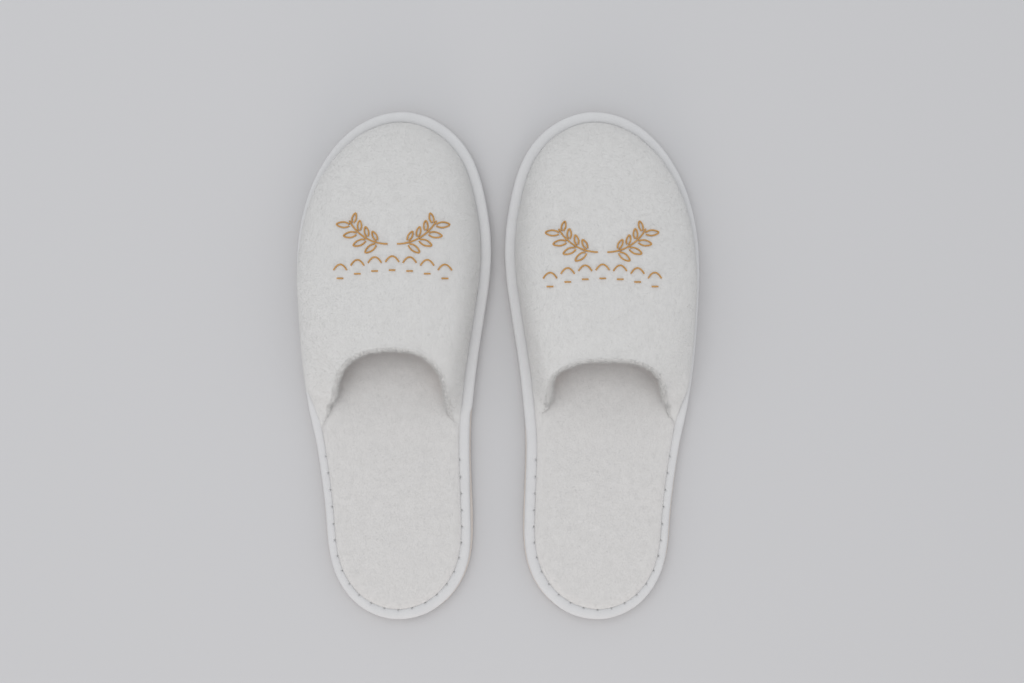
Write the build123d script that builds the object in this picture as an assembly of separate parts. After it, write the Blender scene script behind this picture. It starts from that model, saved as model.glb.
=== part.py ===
from build123d import *
from functools import cache
import math
import os

# A pair of closed-toe spa slippers, modelled in millimetres.
# +Y runs from heel to toe, +X to the wearer's right and +Z up. The origin is on the floor, at the middle of the
# pair's footprint. Every slipper is built in the left slipper's own frame, whose Y axis runs along the middle of
# the sole. The right slipper is the mirror image, with its own throat, because no two sewn throats match.

# ---------------------------------------------------------------- driving dimensions
SOLE_LENGTH = 290.0
AXIS_FROM_MIDDLE = 55.9  # from the pair's mirror plane to each slipper's own Y axis
FIT_GAP = 0.05  # between layers that are glued or sewn face to face
FLEX_LINE_Y = -72.0  # where the bare heel part of the sole flexes
FLEX_GAP = 0.1  # width of the cut that splits the sole's layers there

# Plan outline of the sole: distance forward of its middle, then lateral and medial reach from the Y axis.
BREADTHS = [
    (-136.5, 24.3, 23.4),
    (-114.0, 39.0, 38.7),
    (-85.0, 43.0, 41.4),
    (-40.0, 49.0, 40.2),
    (0.0, 55.3, 43.4),
    (34.0, 58.0, 48.6),
    (66.0, 58.3, 51.7),
    (97.0, 52.4, 48.0),
    (120.0, 41.0, 40.2),
    (137.0, 24.2, 25.2),
]
HEEL_TIP_X = -1.0
TOE_TIP_X = 0.8
RIM_POINTS = 60  # that the rims drawn in from this outline pass through

# Heights in the sole, from the floor up.
OUTSOLE_RIM_TOP = 5.0
OUTSOLE_TOP = 5.9
BOARD_TOP = 6.95
MARGIN_TOP = 7.6  # the insole cover's flat sewing margin
UPPER_MARGIN_TOP = 8.45
BINDING_TOP = 9.3
FOAM_TOP = 9.4
COVER_TOP = 11.0

# Insets from the outsole's outline.
BINDING_OUTER = 1.2
BINDING_WALL = 0.8
BINDING_INNER = 5.6
BINDING_ROUND = 1.8
MARGIN_INSET = 2.2  # edge of everything that the binding grips
STITCH_INSET = 4.9
UPPER_INSET = 6.4  # outer face of the upper where it leaves the sole
COVER_INSET = 6.0  # edge of the raised insole cover behind the upper
COVER_INSET_IN_UPPER = 13.6  # and inside the upper
COVER_NARROWS_OVER = 20.0  # length of the change between the two
COVER_THICK = 1.6

# The upper is three cloths laid over each other.
FACE_CLOTH = 1.6
PADDING = 2.0
LINING = 0.8
CLOTH_GAP = 0.15
UPPER_THICK = FACE_CLOTH + PADDING + LINING + 2 * CLOTH_GAP
EDGE_SETBACK = 1.2  # padding and lining stop this short of the throat edge
UPRIGHT_RISE = 6.0  # the ribs stand upright where the wings are lower than this
SHORTEST_PADDED_RIB = 12.5
RIBS = 45  # sections round the toe, from one wing tip to the other
RIB_POINTS = 15
TIP_CROWDING = 0.6  # crowds the ribs' feet towards the wing tips
NEAREST_S, NEAREST_T = 0.02, 0.05  # the embroidery keeps this far from the upper's edges

# The throat edge of each slipper: points (x, y, z) from the lateral wing tip over the instep to the medial one.
THROATS = {
    "left": [
        (-42.3, -37.5, 11.5),
        (-35.6, -27.0, 23.0),
        (-31.0, -4.5, 36.5),
        (-4.5, 8.6, 42.5),
        (27.0, -9.4, 36.0),
        (29.2, -30.0, 21.0),
        (33.6, -38.5, 11.5),
    ],
    "right": [
        (-42.5, -34.0, 11.5),
        (-37.0, -26.0, 22.0),
        (-33.0, -6.5, 36.0),
        (-6.0, 2.6, 42.0),
        (26.5, -6.0, 36.5),
        (28.0, -23.0, 23.0),
        (33.8, -31.0, 11.5),
    ],
}
TIP_DIRECTIONS = [Vector(0.35, 0.75, 0.6), Vector(0.3, -0.75, -0.6)]
WING_TIP_Y = {"left": (-39.0, -40.0), "right": (-35.5, -32.0)}  # lateral, medial
LATERAL_BULGE = {"left": 14.0, "right": 11.0}  # how far the side wall swells out over the binding
MEDIAL_BULGE = 2.0
TOE_LEAN = 7.0  # how far the toe wall leans back
FULL_SWELL_RISE = 25.0  # the swelling fades where the wings are lower than this
WALL_SHARE = 0.72  # the rib's first handle stands at this share of its rise
CROWN_REACH = 0.42  # the second handle lies back from the throat edge by this share of the rib's inward reach,
CROWN_RISE = 0.05  # above the edge by this share of the rise
CROWN_DROP = 0.02  # and below it by this share of the reach
UPRIGHT_SHARE = 0.35  # on an upright rib it hangs below the edge by this share of the rise
LEVEL_SPAN = 0.12  # share of a rib, from its foot, over which its normal turns from level to true

# Thread.
THREAD_RADIUS = 0.3
THREAD_LIFT = 0.05  # clear of the cloth it lies on
STITCH_PITCH = 9.6
STITCH_LENGTH = 7.6
GOLD_RADIUS = 0.45

# The embroidered motif: a pair of leafy sprigs over an arched row of scallops, each with a dash below it.
MOTIF_X = -2.0
MOTIF_Y = {"left": 68.0, "right": 63.5}
SPRIG_SPAN = 24.0  # from the middle to a sprig's tip
SPRIG_RISE = 13.0
SPRIG_ARC = math.radians(60)
SPRIG_START = 2.6
LEAVES = 4
LEAF_LENGTHS = {1: 7.2, -1: 5.4}  # outside and inside the sprig's curve
LEAF_SLENDER = 0.42  # a leaf's width over its length
LEAF_LEAN = 50.0  # degrees off the stem
LEAF_OFF_STEM = 1.6
FIRST_LEAF = 0.9  # where the first pair of leaves sits, in leaf spacings from the stem's foot
LEAVES_ON_STEM = LEAVES + 0.4  # leaf spacings along the stem
SCALLOPS = 7
SCALLOP_PITCH = 9.6
SCALLOP_LENGTH = 7.4
SCALLOP_HEIGHT = 3.2
SCALLOPS_BELOW = 10.0  # the sprigs' foot, at the middle of the row
ARCH_DROP = 6.0  # how far the row's ends sit below its middle
DASH_BELOW = 4.5
DASH_LENGTH = 3.6

# Tread of the outsole: shallow bars under the forefoot and under the heel.
TREAD_PITCH = 9.0
TREAD_WIDTH = 1.6
TREAD_DEPTH = 0.9
TREAD_INSET = 9.0
TREAD_ZONES = [(-132.0, -78.0), (2.0, 128.0)]

UP = Vector(0, 0, 1)
WIDE = 400.0


# ---------------------------------------------------------------- plan shapes
def outline_edge():
    """Closed spline from the heel up the lateral side, round the toe and back down the medial side."""
    lateral = [(-reach, y) for y, reach, _ in BREADTHS]
    medial = [(reach, y) for y, _, reach in reversed(BREADTHS)]
    heel = [(HEEL_TIP_X, -SOLE_LENGTH / 2)]
    toe = [(TOE_TIP_X, SOLE_LENGTH / 2)]
    return Edge.make_spline([Vector(*p) for p in heel + lateral + toe + medial], periodic=True)


OUTLINE = outline_edge()


def slab(inset, low, high):
    """A plate between two heights whose rim is the sole's outline drawn in by inset, a number or a function of y."""
    rim = []
    for i in range(RIM_POINTS):
        place, outward = rim_point((i + 0.5) / RIM_POINTS, 0)
        rim.append(place - outward * (inset(place.Y) if callable(inset) else inset))
    face = Face(Wire([Edge.make_spline(rim, periodic=True)]))
    return Pos(0, 0, low) * extrude(face, high - low, dir=UP)


def between(y_low, y_high):
    """A wide box that keeps only what lies between two distances along the slipper."""
    return Pos(0, (y_low + y_high) / 2, 0) * Box(WIDE, y_high - y_low, WIDE)


def rim_point(u, inset):
    """The point and outward normal at fraction u of the outline's length, drawn in by inset."""
    tangent = OUTLINE % (u % 1)
    outward = Vector(-tangent.Y, tangent.X, 0).normalized()
    return OUTLINE @ (u % 1) - outward * inset, outward


def rim_fraction(y, low, high):
    """The fraction between low and high at which the outline reaches y."""
    rising = (OUTLINE @ high).Y > (OUTLINE @ low).Y
    for _ in range(30):
        middle = (low + high) / 2
        if ((OUTLINE @ middle).Y < y) == rising:
            low = middle
        else:
            high = middle
    return (low + high) / 2


def lateral_fraction(y):
    return rim_fraction(y, 0.02, 0.45)


def medial_fraction(y):
    return rim_fraction(y, 0.55, 0.98)


# ---------------------------------------------------------------- the upper's shape
def smooth(x):
    """0 below 0, 1 above 1 and an even ease between."""
    x = min(1.0, max(0.0, x))
    return x * x * (3 - 2 * x)


class Upper:
    """The outer face of one slipper's upper, as ribs that rise from the sole and end at the throat edge.

    s runs from 0 at the lateral wing tip to 1 at the medial one, and t from 0 at the sole to 1 at the throat.
    """

    def __init__(self, side):
        lateral_y, medial_y = WING_TIP_Y[side]
        self.u_low = lateral_fraction(lateral_y)
        self.u_high = medial_fraction(medial_y)
        self.throat = Edge.make_spline([Vector(*p) for p in THROATS[side]], tangents=TIP_DIRECTIONS)
        self.bulge = LATERAL_BULGE[side]

    def foot_and_outward(self, s):
        """Where the rib at s leaves the sole, and the level direction out of the slipper there."""
        share = s - TIP_CROWDING * math.sin(2 * math.pi * s) / (2 * math.pi)
        place, outward = rim_point(self.u_low + share * (self.u_high - self.u_low), UPPER_INSET)
        return place + UP * UPPER_MARGIN_TOP, outward

    @cache
    def controls(self, s):
        """The four Bezier points of the rib at s."""
        base, outward = self.foot_and_outward(s)
        edge = self.throat @ s
        rise = edge.Z - base.Z
        inward = Vector(edge.X - base.X, edge.Y - base.Y, 0)
        swell = max(0.0, -outward.X) * self.bulge + max(0.0, outward.X) * MEDIAL_BULGE
        swell *= min(1.0, rise / FULL_SWELL_RISE)
        lean = max(0.0, outward.Y) ** 2 * TOE_LEAN
        first = base + outward * (swell - lean) + UP * (WALL_SHARE * rise)
        crown = smooth((rise - UPRIGHT_RISE) / UPRIGHT_RISE)
        level = edge - inward * CROWN_REACH + UP * (CROWN_RISE * rise - CROWN_DROP * inward.length)
        upright = edge - UP * (UPRIGHT_SHARE * rise)
        second = level * crown + upright * (1 - crown)
        return base, first, second, edge

    def point(self, s, t):
        base, first, second, edge = self.controls(s)
        k = 1 - t
        return base * k**3 + first * (3 * k * k * t) + second * (3 * k * t * t) + edge * t**3

    def normal(self, s, t):
        """Outward normal, turned level near the sole so that every cloth starts in one plane."""
        step = 0.004
        along = self.point(min(1, s + step), t) - self.point(max(0, s - step), t)
        across = self.point(s, min(1, t + step)) - self.point(s, max(0, t - step))
        n = across.cross(along).normalized()
        return Vector(n.X, n.Y, n.Z * min(1.0, t / LEVEL_SPAN)).normalized()

    def inside(self, s, t, depth):
        return self.point(s, t) - self.normal(s, t) * depth

    def from_edge(self, s, t):
        """Straight distance to the throat edge, along the rib."""
        return (self.point(s, t) - self.point(s, 1)).length

    def t_at(self, s, distance):
        """The t at which the rib is still this far from the throat edge."""
        low, high = 0.0, 1.0
        for _ in range(20):
            middle = (low + high) / 2
            if self.from_edge(s, middle) > distance:
                low = middle
            else:
                high = middle
        return low

    def padded_span(self):
        """The s range in which the ribs are long enough to hold padding behind the hem."""
        steps = [i / 200 for i in range(201)]
        long_enough = [s for s in steps if self.from_edge(s, 0) > SHORTEST_PADDED_RIB]
        return min(long_enough), max(long_enough)

    def grid(self, depth, start=0.0, stop=1.0, span=(0.0, 1.0)):
        """Points of a skin at a depth below the outer face. Start and stop may vary with s."""
        rows = []
        for i in range(RIBS):
            s = span[0] + (span[1] - span[0]) * i / (RIBS - 1)
            first = start(s) if callable(start) else start
            last = stop(s) if callable(stop) else stop
            ts = [first + (last - first) * j / (RIB_POINTS - 1) for j in range(RIB_POINTS)]
            rows.append([self.inside(s, t, depth) for t in ts])
        return rows

    def face_solid(self):
        """The face cloth, with its sewing margin as a level flange."""
        outer = self.grid(0.0)
        inner = self.grid(FACE_CLOTH)
        drop = UP * (UPPER_MARGIN_TOP - MARGIN_TOP - FIT_GAP)
        for row in inner:
            row[0] -= drop
        reach = UPPER_INSET - MARGIN_INSET
        top = [row[0] + self.foot_and_outward(i / (RIBS - 1))[1] * reach for i, row in enumerate(outer)]
        return solid_between(outer, inner, (top, [place - drop for place in top]))

    def inner_solid(self, depth, thickness):
        """A cloth under the face cloth, from its sewing margin to just short of the throat edge."""
        limits = (self.t_above_margin, self.t_below_edge, self.padded_span())
        return solid_between(self.grid(depth, *limits), self.grid(depth + thickness, *limits))

    def t_above_margin(self, s):
        """The t at which the rib has cleared the face cloth's flat margin."""
        base, first, _, _ = self.controls(s)
        return CLOTH_GAP / (3 * (first.Z - base.Z))

    def t_below_edge(self, s):
        return self.t_at(s, EDGE_SETBACK)

    def over(self, x, y, height):
        """The point this high above the outer face, over a place in plan."""
        s, t = 0.5, 0.7
        step = 1e-3
        damping = 0.8
        for _ in range(25):
            here = self.point(s, t)
            by_s = (self.point(s + step, t) - here) / step
            by_t = (self.point(s, t + step) - here) / step
            miss_x, miss_y = x - here.X, y - here.Y
            turn = by_s.X * by_t.Y - by_s.Y * by_t.X
            s += damping * (miss_x * by_t.Y - miss_y * by_t.X) / turn
            t += damping * (by_s.X * miss_y - by_s.Y * miss_x) / turn
            s = min(1 - NEAREST_S, max(NEAREST_S, s))
            t = min(1 - NEAREST_S, max(NEAREST_T, t))
        return self.point(s, t) + self.normal(s, t) * height


def solid_between(outer, inner, flange=None):
    """A closed solid between two grids of points, with ruled faces round its rim.

    A flange is a pair of rows of points. The two skins run out level from their feet to these rows.
    """
    skins = [Face.make_surface_from_array_of_points(grid, tol=0.01, min_deg=3) for grid in (outer, inner)]
    last, end = len(outer) - 1, len(outer[0]) - 1

    def skin_edges(i, j):
        """The edge of each skin that passes through its grid's point i, j."""
        return [
            min(skin.edges(), key=lambda e: e.distance_to(Vertex(*grid[i][j])))
            for skin, grid in zip(skins, (outer, inner))
        ]

    faces = list(skins)
    for i, j in ((last // 2, end), (0, end // 2), (last, end // 2)):
        faces.append(Face.make_surface_from_curves(*skin_edges(i, j)))
    feet = skin_edges(last // 2, 0)
    if flange:
        rows = [Edge.make_spline(row) for row in flange]
        faces.append(Face.make_surface_from_curves(*rows))
        faces += [Face.make_surface_from_curves(foot, row) for foot, row in zip(feet, rows)]
        for i in (0, last):
            ends = [Edge.make_line(grid[i][0], row[i]) for grid, row in zip((outer, inner), flange)]
            faces.append(Face.make_surface_from_curves(*ends))
    else:
        faces.append(Face.make_surface_from_curves(*feet))
    return Solid(Shell(faces))


# ---------------------------------------------------------------- sole parts
def outsole():
    body = slab(0, 0, OUTSOLE_RIM_TOP) + slab(BINDING_INNER + FIT_GAP, 0, OUTSOLE_TOP)
    bars = []
    for low, high in TREAD_ZONES:
        for i in range(int((high - low) / TREAD_PITCH) + 1):
            bars.append(Pos(0, low + i * TREAD_PITCH, 0) * Box(WIDE, TREAD_WIDTH, 2 * TREAD_DEPTH))
    return body - (Compound(children=bars) & slab(TREAD_INSET, -1, TREAD_DEPTH))


def insole_board():
    return slab(MARGIN_INSET, OUTSOLE_TOP + FIT_GAP, BOARD_TOP)


def cover_inset(side, further=0.0):
    """Inset of the insole cover's raised part as a function of y. It narrows where it enters the upper."""
    narrow_from = min(WING_TIP_Y[side]) - 3

    def inset(y):
        entered = smooth(1 + (y - narrow_from) / COVER_NARROWS_OVER)
        return COVER_INSET + (COVER_INSET_IN_UPPER - COVER_INSET) * entered + further

    return inset


def insole_foam(side, grow=0.0):
    """The sponge under the cover. Grown a little, it is the hollow that the cover leaves for it."""
    low, high = BOARD_TOP + FIT_GAP, FOAM_TOP
    return slab(cover_inset(side, COVER_THICK - grow), low - grow, high + grow)


def insole_cover(side):
    low = BOARD_TOP + FIT_GAP
    margin = slab(MARGIN_INSET, low, MARGIN_TOP)
    return margin + slab(cover_inset(side), low, COVER_TOP) - insole_foam(side, FIT_GAP)


def binding():
    """Tape folded round the sole's edge, gripping the board and the sewing margins in its slot."""
    low = OUTSOLE_RIM_TOP + FIT_GAP
    roll = slab(BINDING_OUTER, low, BINDING_TOP)
    roll = fillet(roll.edges().filter_by(Plane.XY), BINDING_ROUND)
    slot = slab(BINDING_OUTER + BINDING_WALL, OUTSOLE_TOP, UPPER_MARGIN_TOP + FIT_GAP)
    return roll - slab(BINDING_INNER, 0, BINDING_TOP + 1) - slot


def stitch_run(u_low, u_high):
    """Evenly spaced stitches along the binding's inner edge, each a short rod."""
    length = OUTLINE.length * (u_high - u_low)
    count = round(length / STITCH_PITCH)
    stitches = []
    for i in range(count):
        u = u_low + (u_high - u_low) * (i + 0.5) / count
        place, outward = rim_point(u, STITCH_INSET)
        place += UP * (BINDING_TOP + THREAD_LIFT + THREAD_RADIUS)
        stitches.append(Plane(place, x_dir=UP, z_dir=outward.cross(UP)) * Cylinder(THREAD_RADIUS, STITCH_LENGTH))
    return stitches


# ---------------------------------------------------------------- the embroidered motif
def leaf(x, y, heading, length):
    """Almond-shaped line that leaves a point at a heading and comes back beside it, as points in plan."""
    shape = [(0, 0.16), (0.3, 0.46), (0.7, 0.42), (1, 0), (0.7, -0.42), (0.3, -0.46), (0, -0.16)]
    turn = math.radians(heading)
    points = []
    for along, side in shape:
        a, b = along * length, side * length * LEAF_SLENDER
        points.append((x + a * math.cos(turn) - b * math.sin(turn), y + a * math.sin(turn) + b * math.cos(turn)))
    return points


def stem_point(k, hand):
    """A point at share k of a sprig's stem, measured from the motif's middle. hand is -1 or 1."""
    reach = (SPRIG_SPAN - SPRIG_START) * math.sin(k * SPRIG_ARC) / math.sin(SPRIG_ARC)
    rise = SPRIG_RISE * (1 - math.cos(k * SPRIG_ARC)) / (1 - math.cos(SPRIG_ARC))
    return hand * (SPRIG_START + reach), rise


def motif_lines():
    """Every line of the motif, as points in plan from its middle."""
    lines = []
    for hand in (-1, 1):
        lines.append([stem_point(k / 6, hand) for k in range(7)])
        for i in range(LEAVES):
            k = (i + FIRST_LEAF) / LEAVES_ON_STEM
            x, y = stem_point(k, hand)
            nx, ny = stem_point(k + 0.01, hand)
            heading = math.degrees(math.atan2(ny - y, nx - x))
            for away, length in LEAF_LENGTHS.items():
                leaf_heading = heading - hand * away * LEAF_LEAN
                turn = math.radians(leaf_heading)
                start_x, start_y = x + LEAF_OFF_STEM * math.cos(turn), y + LEAF_OFF_STEM * math.sin(turn)
                lines.append(leaf(start_x, start_y, leaf_heading, length))
    for i in range(SCALLOPS):
        x = (i - (SCALLOPS - 1) / 2) * SCALLOP_PITCH
        drop = -SCALLOPS_BELOW - ARCH_DROP * (2 * x / (SCALLOPS * SCALLOP_PITCH)) ** 2
        half = SCALLOP_LENGTH / 2
        lines.append([(x - half, drop), (x, drop + SCALLOP_HEIGHT), (x + half, drop)])
        lines.append([(x - DASH_LENGTH / 2, drop - DASH_BELOW), (x + DASH_LENGTH / 2, drop - DASH_BELOW)])
    return lines


def embroidery(upper, side):
    """Each line of the motif as a cord of gold thread lying on the face cloth."""
    cords = []
    for points in motif_lines():
        lift = GOLD_RADIUS + THREAD_LIFT
        path = Edge.make_spline([upper.over(MOTIF_X + x, MOTIF_Y[side] + y, lift) for x, y in points])
        cords.append(sweep(Plane(path @ 0, z_dir=path % 0) * Circle(GOLD_RADIUS), path=path))
    return cords


# ---------------------------------------------------------------- assembly
def split_at_flex(name, shape):
    """A sole layer as its front part and its heel part."""
    return {
        name + "_front": shape & between(FLEX_LINE_Y + FLEX_GAP / 2, WIDE),
        name + "_heel": shape & between(-WIDE, FLEX_LINE_Y - FLEX_GAP / 2),
    }


def slipper(side):
    """Every piece of one slipper, in the left slipper's own frame."""
    upper = Upper(side)
    pieces = {}
    pieces.update(split_at_flex("outsole", outsole()))
    pieces.update(split_at_flex("insole_board", insole_board()))
    pieces.update(split_at_flex("insole_foam", insole_foam(side)))
    pieces.update(split_at_flex("insole_cover", insole_cover(side)))
    pieces.update(split_at_flex("binding", binding()))
    lateral, medial = lateral_fraction(FLEX_LINE_Y), medial_fraction(FLEX_LINE_Y)
    pieces["binding_stitches_front"] = Compound(children=stitch_run(lateral, medial))
    pieces["binding_stitches_heel"] = Compound(children=stitch_run(medial, 1 + lateral))
    pieces["upper_face"] = upper.face_solid()
    pieces["upper_padding"] = upper.inner_solid(FACE_CLOTH + CLOTH_GAP, PADDING)
    pieces["upper_lining"] = upper.inner_solid(UPPER_THICK - LINING, LINING)
    pieces["upper_embroidery"] = Compound(children=embroidery(upper, side))
    return pieces


os.makedirs("parts", exist_ok=True)
for side in ("left", "right"):
    for name, shape in slipper(side).items():
        if side == "right":
            shape = mirror(shape, about=Plane.YZ)
        offset_x = AXIS_FROM_MIDDLE * (-1 if side == "left" else 1)
        export_step(Pos(offset_x, 0, 0) * shape, f"parts/{side}_{name}.step")
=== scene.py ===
import math

import bmesh
import bpy
import numpy as np
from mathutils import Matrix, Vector, noise
from mathutils.bvhtree import BVHTree


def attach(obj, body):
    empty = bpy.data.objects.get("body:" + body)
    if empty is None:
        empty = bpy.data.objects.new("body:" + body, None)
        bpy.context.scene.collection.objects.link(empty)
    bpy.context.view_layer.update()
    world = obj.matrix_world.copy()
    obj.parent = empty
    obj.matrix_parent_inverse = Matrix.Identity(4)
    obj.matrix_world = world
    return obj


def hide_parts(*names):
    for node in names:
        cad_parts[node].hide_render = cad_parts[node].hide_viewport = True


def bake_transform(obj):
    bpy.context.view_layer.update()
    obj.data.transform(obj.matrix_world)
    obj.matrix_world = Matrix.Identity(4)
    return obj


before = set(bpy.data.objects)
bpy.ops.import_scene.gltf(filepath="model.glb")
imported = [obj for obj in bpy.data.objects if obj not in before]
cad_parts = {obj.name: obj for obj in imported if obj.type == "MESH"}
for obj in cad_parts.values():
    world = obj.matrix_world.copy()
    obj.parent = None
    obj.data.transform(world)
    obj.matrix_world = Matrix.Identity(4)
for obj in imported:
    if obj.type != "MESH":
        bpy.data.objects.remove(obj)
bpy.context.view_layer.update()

MM = 0.001

# ------------------------------------------------------------------ sole, in millimetres
AXIS_FROM_MIDDLE = 55.9  # from the pair's middle line to each slipper's own
SOLE_LENGTH = 290.0
HEEL_TIP_X, TOE_TIP_X = -1.0, 0.8
OUTER_SPAN, INNER_SPAN = (0.02, 0.45), (0.55, 0.98)  # shares of the outline that lie on its two sides
BREADTHS = [  # y, then the sole's reach to the outer and to the inner side of its own middle line
    (-136.5, 24.3, 23.4), (-114.0, 39.0, 38.7), (-85.0, 43.0, 41.4), (-40.0, 49.0, 40.2), (0.0, 55.3, 43.4),
    (34.0, 58.0, 48.6), (66.0, 58.3, 51.7), (97.0, 52.4, 48.0), (120.0, 41.0, 40.2), (137.0, 24.2, 25.2),
]

OUTSOLE_SIDE = (1.1, 2.4)  # bottom and top of its side, between the rounded edges
OUTSOLE_TOP = 4.9
OUTSOLE_ROUND = 1.1
BAR_SPANS = ((-132, -78), (2, 128))  # the tread grooves under the heel and under the ball, from y to y
BAR_PITCH = 9.0
GROOVE_DEPTH = 0.9
GROOVE_HALF_WIDTH = 0.83
GROOVE_ROWS = (-0.86, -0.8, -0.4, 0.0, 0.4, 0.8, 0.86)  # rows of points over a groove and its two walls
GROOVE_FROM_EDGE = 9.0

BOARD_INSET, BOARD_BOTTOM, BOARD_TOP = 2.4, 6.0, 6.9
FOAM_INSIDE_COVER, FOAM_BOTTOM, FOAM_TOP = 3.2, 7.2, 9.2

COVER_UNDER_BINDING = 0.55
COVER_NARROWS = 2.9  # the footbed's edge lies this much further in inside the upper
COVER_NARROWS_FROM, COVER_NARROWS_OVER = 6.0, 20.0  # ahead of the wing tips
COVER_BOTTOM, COVER_EDGE = 7.05, 8.2
COVER_ROUND, COVER_RISE = 5.5, 2.3
COVER_CROWN, COVER_CROWN_OVER = 0.9, 30.0

# ------------------------------------------------------------------ binding and its stitches, in millimetres
BINDING_MIDDLE, BINDING_HALF = 7.2, 2.12
BINDING_TOP = 9.3
BINDING_POWER = 0.85  # under 1 makes its section squarer than an ellipse
BINDING_RINGS, BINDING_SIDES = 1500, 30
TOP_FROM = 0.1  # the share of its half height over which a place belongs to its top
BINDING_OUTER, BINDING_INNER = -0.35, 6.0  # insets from the sole's outline, ahead of the wing tips
BINDING_INNER_LEAN = 0.3  # more on the inner side of the foot and less on the outer side
BACK_FROM = -22.0  # behind this y the binding is drawn in
BACK_OVER = {"left": (24.0, 5.0), "right": (24.0, 24.0)}  # over this length, on the outer and the inner side
BACK_OUTER, BACK_INNER, BACK_HEEL = 0.95, 0.7, 1.0  # by this much: outer edge, inner edge, inner edge at heel
WAIST_Y, WAIST_REACH = -85.0, 24.0
WAIST_DRAW = {"left": (0.1, 0.7), "right": (0.4, 0.1)}  # by this much more at the waist, outer and inner side
STITCH_PITCH = 9.6
HOLES_FROM_INNER = 0.8  # the needle holes' distance from the binding's inner edge
HOLES_BEHIND, HOLES_OVER = -48.0, 6.0  # the holes show behind this y
HOLE_DEPTH, HOLE_LENGTH, HOLE_WIDTH = 1.9, 0.55, 0.5
SLACK, SLACK_WIDTH = 0.05, 1.4  # the cloth's swell between two holes
THREAD_RADIUS, THREAD_END_RADIUS = 0.20, 0.02
THREAD_SUNK, THREAD_ARCH = 2.0, 0.5  # the thread's ends under the binding's top, and its rise between them
THREAD_RINGS, THREAD_SIDES = 13, 8
THREAD_TAPER, THREAD_BOW = 0.25, 0.6  # powers that shape its ends and its arch: the lower, the blunter

# ------------------------------------------------------------------ upper, in millimetres
# points of the throat edge, from the outer wing's tip over the instep to the inner wing's tip
THROATS = {
    "left": [(-42.2, -41.2, 8.8), (-38.6, -28.5, 12.6), (-35.8, -15.5, 22.5), (-31.8, -3.4, 31.5),
             (-25.0, 3.7, 36.5), (-4.3, 9.4, 40.5), (14.6, 5.8, 38.5), (22.4, -0.8, 35.0),
             (27.2, -10.5, 29.0), (28.8, -21.7, 19.5), (30.0, -31.0, 11.5), (32.6, -41.6, 8.8)],
    "right": [(-42.6, -38.0, 8.8), (-40.2, -28.0, 12.8), (-38.2, -18.0, 22.0), (-35.8, -8.3, 31.0),
              (-28.2, -0.8, 36.5), (-5.0, 3.5, 40.0), (15.8, 0.6, 37.5), (26.4, -7.5, 31.5),
              (28.2, -17.5, 22.0), (29.2, -25.5, 12.8), (31.8, -34.6, 8.8)],
}
THROAT_ENDS = [(0.25, 0.9, 0.15), (0.2, -0.9, -0.15)]  # the edge's directions at its two tips
WING_TIP_Y = {"left": (-41.5, -42.0), "right": (-38.0, -34.6)}  # where the upper's foot ends, outer and inner
UPPER_INSET, UPPER_FOOT = 5.5, 7.7  # the upper's foot on the sole
FOOT_CROWDING = 0.6  # the ribs' feet stand closer together at the wings than at the toe
LATERAL_BULGE = {"left": 14.0, "right": 11.0}
MEDIAL_BULGE = -3.0
TOE_LEAN = 7.0
FULL_BULGE_RISE = 11.0  # a rib that rises less bulges less
WALL_SHARE = 0.72  # the rib's first handle stands at this share of its rise
CROWN_REACH = 0.42  # the second lies back from the throat edge by this share of the rib's inward reach,
CROWN_RISE = 0.05  # above the edge by this share of the rise
CROWN_DROP = 0.02  # and below it by this share of the reach
UPRIGHT_SHARE = 0.35  # on an upright rib it hangs below the edge by this share of the rise
CROWN_FROM, CROWN_OVER = 6.0, 6.0  # an upright rib turns into a crowned one over these rises
LEVEL_SPAN = 0.12  # share of a rib, from its foot, over which its normal turns from level to true

# ------------------------------------------------------------------ upper's pieces, in millimetres and shares
RIBS, RIB_CROWDING = 512, 0.35
OUTSIDE_COLS, INSIDE_COLS, HEM_COLS = 110, 70, 14
TURN_COLS = 18  # columns of the inside that the pile still covers
HEM_REACH = 0.6  # the longest share of a rib that the hem may take
HEM_STEP, HEM_AHEAD = 0.02, 0.03  # shares of a rib over which the hem's speed and direction are measured
PUFF_OVER = 0.25  # share of a rib, from its foot, over which the padding's unevenness grows
GATHER_AT, GATHER_REACH, GATHER_STRETCH = 0.10, 0.10, 0.25
FLAT_LENGTH = 20.0  # shorter ribs are smoother
TUFT_FROM, TUFT_OVER = 14.0, 12.0  # and have shorter tufts
INSIDE_FOOT = 0.02  # share of a rib where the face cloth's inside ends
THICK, TIP_THICK = 4.7, 3.0  # face cloth with its padding, and at the wing tips
THICK_FROM, THICK_OVER = 3.0, 14.0  # it thickens over these lengths of rib
LINING, LINING_ROOM = 0.8, 0.1  # its thickness, and the gap on its far side
ROOM_FROM, ROOM_OVER, ROOM_THICK = 6.0, 2.0, 4.0  # the thick face cloth makes room for it from here
LINING_FROM_THROAT, LINING_FOOT = 7.0, 0.03  # its upper end in millimetres, its lower end as a share of a rib
LINING_COLS, LINING_STEPS = 60, 400
THIN = 0.3  # the lining lies only where the padding is within this of its full thickness
PADDING_RIBS, PADDING_COLS = (0.17, 0.83, 160), (0.05, 0.86, 50)  # shares from and to, and steps
PADDING_FRONT, PADDING_BACK = 1.75, 3.6

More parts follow.
